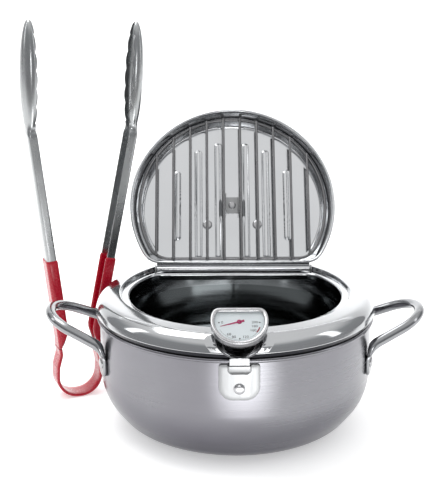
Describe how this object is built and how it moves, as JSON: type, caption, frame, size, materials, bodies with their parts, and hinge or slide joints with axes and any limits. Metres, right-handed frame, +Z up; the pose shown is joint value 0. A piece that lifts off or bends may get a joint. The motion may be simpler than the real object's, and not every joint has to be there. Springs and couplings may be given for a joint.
{
  "type": "deep frying pot with tongs",
  "caption": "Stovetop deep-frying pot with loop handles, domed splash collar, hinged lid carrying a drain rack, dial thermometer in a cup, and sprung tongs with vinyl grips.",
  "frame": {"origin": "centre of the pot's base, on the surface it stands on", "axes": "+Z up, -Y to the front where the thermometer is, +X to the right"},
  "size_m": [0.3511, 0.2824, 0.3472],
  "materials": {
    "brushed_pot": "satin brushed stainless steel",
    "polished_rod": "polished stainless rod",
    "bright_sheet": "fine satin stainless sheet",
    "polished_collar": "mirror-polished stainless steel",
    "polished_lid": "mirror-polished stainless steel",
    "rack_wire": "bright drawn wire",
    "gauge_case": "satin stainless",
    "white_dial": "pale printed dial",
    "clear_glass": "clear flat glass",
    "bimetal": "bimetal and shaft",
    "red_needle": "red painted needle",
    "satin_strip": "satin pressed stainless strip",
    "red_vinyl": "glossy dipped vinyl"
  },
  "bodies": {
    "pot": {"pot_body": "brushed_pot", "base_disc": "brushed_pot", "left_handle": "polished_rod", "right_handle": "polished_rod", "handle_rivets": "polished_rod", "catch_plate": "bright_sheet", "catch_rivet": "bright_sheet"},
    "collar": {"collar_ring": "polished_collar", "cup_flare": "polished_collar", "thermometer_cup": "polished_collar", "collar_tongue": "bright_sheet", "left_hinge_ear": "polished_collar", "right_hinge_ear": "polished_collar", "hinge_rod": "polished_rod"},
    "lid": {"lid_pan": "polished_lid", "lid_handle": "polished_rod", "lid_handle_rivets": "polished_rod", "rack_clip": "bright_sheet", "rack_clip_rivet": "bright_sheet"},
    "rack": {"rack_frame": "rack_wire", "rack_wires": "rack_wire"},
    "thermometer": {"thermometer_case": "gauge_case", "thermometer_bezel": "gauge_case", "dial_plate": "white_dial", "dial_glass": "clear_glass", "probe_stem": "polished_rod", "bimetal_coil": "bimetal"},
    "needle": {"needle": "red_needle", "needle_shaft": "bimetal"},
    "tongs": {"tong_loop_core": "satin_strip", "tong_loop_grip": "red_vinyl"},
    "left_arm": {"left_tong_arm": "satin_strip", "left_tong_grip": "red_vinyl"},
    "right_arm": {"right_tong_arm": "satin_strip", "right_tong_grip": "red_vinyl"}
  },
  "joints": [
    {"name": "collar_lift", "type": "slide", "parent": "pot", "child": "collar", "axis": [0, 0, 1], "range_m": [0, 0.04]},
    {"name": "lid_hinge", "type": "hinge", "parent": "collar", "child": "lid", "pos_m": [0, 0.062, 0.1197], "axis": [1, 0, 0], "range_deg": [0, 122]},
    {"name": "rack_unclip", "type": "slide", "parent": "lid", "child": "rack", "axis": [0, -0.848, 0.5299], "range_m": [0, 0.012]},
    {"name": "thermometer_pull", "type": "slide", "parent": "collar", "child": "thermometer", "axis": [0, -0.5736, 0.8192], "range_m": [0, 0.1]},
    {"name": "needle_turn", "type": "hinge", "parent": "thermometer", "child": "needle", "pos_m": [0, -0.1124, 0.131], "axis": [0, -0.5736, 0.8192], "range_deg": [-14, 162], "stiffness_Nm_per_rad": 0.0002},
    {"name": "tongs_lift", "type": "slide", "parent": "pot", "child": "tongs", "axis": [0, 0, 1], "range_m": [0, 0.15]},
    {"name": "left_tong_squeeze", "type": "hinge", "parent": "tongs", "child": "left_arm", "pos_m": [-0.16275, 0.0504, 0.05677], "axis": [-0.3665, 0.9304, 0], "range_deg": [0, 8.6], "stiffness_Nm_per_rad": 2},
    {"name": "right_tong_squeeze", "type": "hinge", "parent": "tongs", "child": "right_arm", "pos_m": [-0.12605, 0.06486, 0.05477], "axis": [0.3665, -0.9304, 0], "range_deg": [0, 8.6], "stiffness_Nm_per_rad": 2}
  ],
  "couplings": [
    {"joint": "right_tong_squeeze", "follows": "left_tong_squeeze", "ratio": 1}
  ]
}
